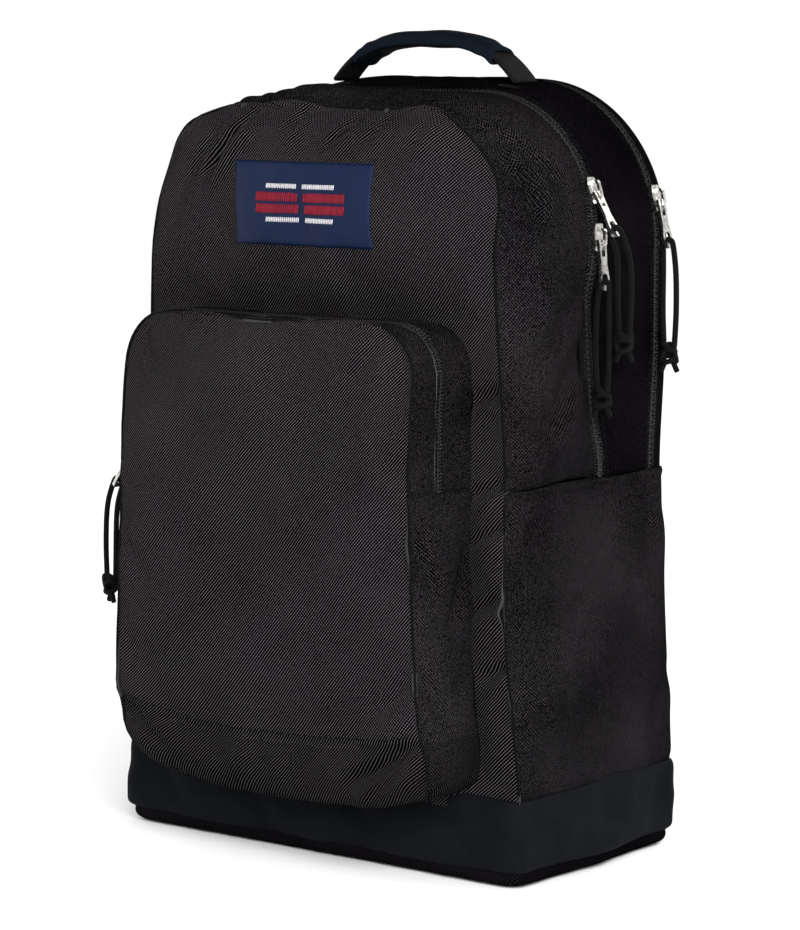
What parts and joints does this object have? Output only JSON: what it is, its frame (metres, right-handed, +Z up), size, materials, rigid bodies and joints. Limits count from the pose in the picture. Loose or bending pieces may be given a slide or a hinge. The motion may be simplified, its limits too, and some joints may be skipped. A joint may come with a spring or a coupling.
{
  "type": "school backpack",
  "caption": "Soft backpack with a main and a rear zipped compartment, a front pocket, suede base, haul handle and padded shoulder straps.",
  "frame": {"origin": "middle of the flat base under the main body", "axes": "+X towards the side with the two main zip sliders, -Y out of the front pocket, +Y towards the wearer's back, +Z up"},
  "size_m": [0.3269, 0.2504, 0.496],
  "materials": {
    "shell_cloth": "heavy black basket weave polyester",
    "mesh_padding": "black spacer mesh over foam",
    "suede": "blue-black suede",
    "handle_suede": "dark navy suede",
    "label_satin": "navy satin weave",
    "lining": "smooth black lining",
    "board": "plain sheet",
    "zip_tape": "knitted black tape",
    "zip_teeth": "black nylon coil",
    "webbing": "ribbed black webbing",
    "buckle_plastic": "moulded black acetal",
    "slider_metal": "nickel plated, worn",
    "cord": "braided black cord"
  },
  "bodies": {
    "bag": {"back_padding": "mesh_padding", "back_panel": "shell_cloth", "base_board": "board", "compartment_divider": "lining", "corner_tabs": "shell_cloth", "front_gusset_left": "shell_cloth", "front_gusset_right": "shell_cloth", "front_panel_lower": "shell_cloth", "handle_tabs": "webbing", "laptop_sleeve": "lining", "lower_webbing_left": "webbing", "lower_webbing_right": "webbing", "main_zip_chain": "zip_teeth", "main_zip_tape": "zip_tape", "organizer": "lining", "pocket_band": "shell_cloth", "pocket_face_lower": "shell_cloth", "pocket_floor": "shell_cloth", "pocket_rear_arch": "shell_cloth", "pocket_side_left": "shell_cloth", "pocket_side_right": "shell_cloth", "pocket_zip_chain": "zip_teeth", "pocket_zip_tape": "zip_tape", "rear_gusset": "shell_cloth", "rear_zip_chain": "zip_teeth", "rear_zip_tape": "zip_tape", "side_panel_left": "shell_cloth", "side_panel_right": "shell_cloth", "strap_yoke": "shell_cloth", "suede_base": "suede"},
    "main_lid": {"front_panel_upper": "shell_cloth", "front_gusset_arch": "shell_cloth", "main_zip_front_tape": "zip_tape", "label": "label_satin"},
    "pocket_flap": {"pocket_face_upper": "shell_cloth", "pocket_front_arch": "shell_cloth"},
    "haul_handle": {"handle_webbing": "webbing", "handle_grip": "handle_suede"},
    "strap_left": {"strap_pad_left": "mesh_padding", "ladder_lock_left": "buckle_plastic"},
    "strap_right": {"strap_pad_right": "mesh_padding", "ladder_lock_right": "buckle_plastic"},
    "slider_a": {"slider_a": "slider_metal"},
    "pull_a": {"pull_a": "slider_metal", "cord_a": "cord"},
    "slider_b": {"slider_b": "slider_metal"},
    "pull_b": {"pull_b": "slider_metal", "cord_b": "cord"},
    "slider_c": {"slider_c": "slider_metal"},
    "pull_c": {"pull_c": "slider_metal", "cord_c": "cord"},
    "slider_d": {"slider_d": "slider_metal"},
    "pull_d": {"pull_d": "slider_metal", "cord_d": "cord"},
    "slider_e": {"slider_e": "slider_metal"},
    "pull_e": {"pull_e": "slider_metal", "cord_e": "cord"}
  },
  "joints": [
    {"name": "main_lid_fold", "type": "hinge", "parent": "bag", "child": "main_lid", "pos_m": [0, -0.08, 0.334], "axis": [1, 0, 0], "range_deg": [0, 75]},
    {"name": "pocket_flap_fold", "type": "hinge", "parent": "bag", "child": "pocket_flap", "pos_m": [0, -0.132, 0.233], "axis": [1, 0, 0], "range_deg": [0, 75]},
    {"name": "haul_handle_fold", "type": "hinge", "parent": "bag", "child": "haul_handle", "pos_m": [0, 0.03, 0.4765], "axis": [1, 0, 0], "range_deg": [-60, 60]},
    {"name": "strap_left_swing", "type": "hinge", "parent": "bag", "child": "strap_left", "pos_m": [-0.066, 0.091, 0.436], "axis": [1, 0, 0], "range_deg": [0, 60], "deforming": ["lower_webbing_left"]},
    {"name": "strap_right_swing", "type": "hinge", "parent": "bag", "child": "strap_right", "pos_m": [0.066, 0.091, 0.436], "axis": [1, 0, 0], "range_deg": [0, 60], "deforming": ["lower_webbing_right"]},
    {"name": "slider_a_travel", "type": "hinge", "parent": "bag", "child": "slider_a", "pos_m": [0.06078, 0.004, 0.37765], "axis": [0, -1, 0], "range_deg": [0, 50]},
    {"name": "pull_a_swing", "type": "hinge", "parent": "slider_a", "child": "pull_a", "pos_m": [0.1449, 0.004, 0.40192], "axis": [0, -1, 0], "range_deg": [0, 120]},
    {"name": "slider_b_travel", "type": "slide", "parent": "bag", "child": "slider_b", "axis": [0, 0, -1], "range_m": [0, 0.12]},
    {"name": "pull_b_swing", "type": "hinge", "parent": "slider_b", "child": "pull_b", "pos_m": [0.1483, 0.004, 0.3737], "axis": [0, -1, 0], "range_deg": [0, 120]},
    {"name": "slider_c_travel", "type": "hinge", "parent": "bag", "child": "slider_c", "pos_m": [0.04936, 0.067, 0.37214], "axis": [0, -1, 0], "range_deg": [0, 60]},
    {"name": "pull_c_swing", "type": "hinge", "parent": "slider_c", "child": "pull_c", "pos_m": [0.14568, 0.067, 0.39485], "axis": [0, -1, 0], "range_deg": [0, 120]},
    {"name": "slider_d_travel", "type": "hinge", "parent": "bag", "child": "slider_d", "pos_m": [-0.06078, 0.004, 0.37765], "axis": [0, 1, 0], "range_deg": [0, 25]},
    {"name": "pull_d_swing", "type": "hinge", "parent": "slider_d", "child": "pull_d", "pos_m": [-0.1188, 0.004, 0.44322], "axis": [0, 1, 0], "range_deg": [0, 120]},
    {"name": "slider_e_travel", "type": "slide", "parent": "bag", "child": "slider_e", "axis": [0, 0, 1], "range_m": [0, 0.04]},
    {"name": "pull_e_swing", "type": "hinge", "parent": "slider_e", "child": "pull_e", "pos_m": [-0.1243, -0.108, 0.2407], "axis": [0, 1, 0], "range_deg": [0, 98]}
  ],
  "couplings": [
    {"joint": "pull_b_swing", "follows": "pull_a_swing", "ratio": 1}
  ]
}
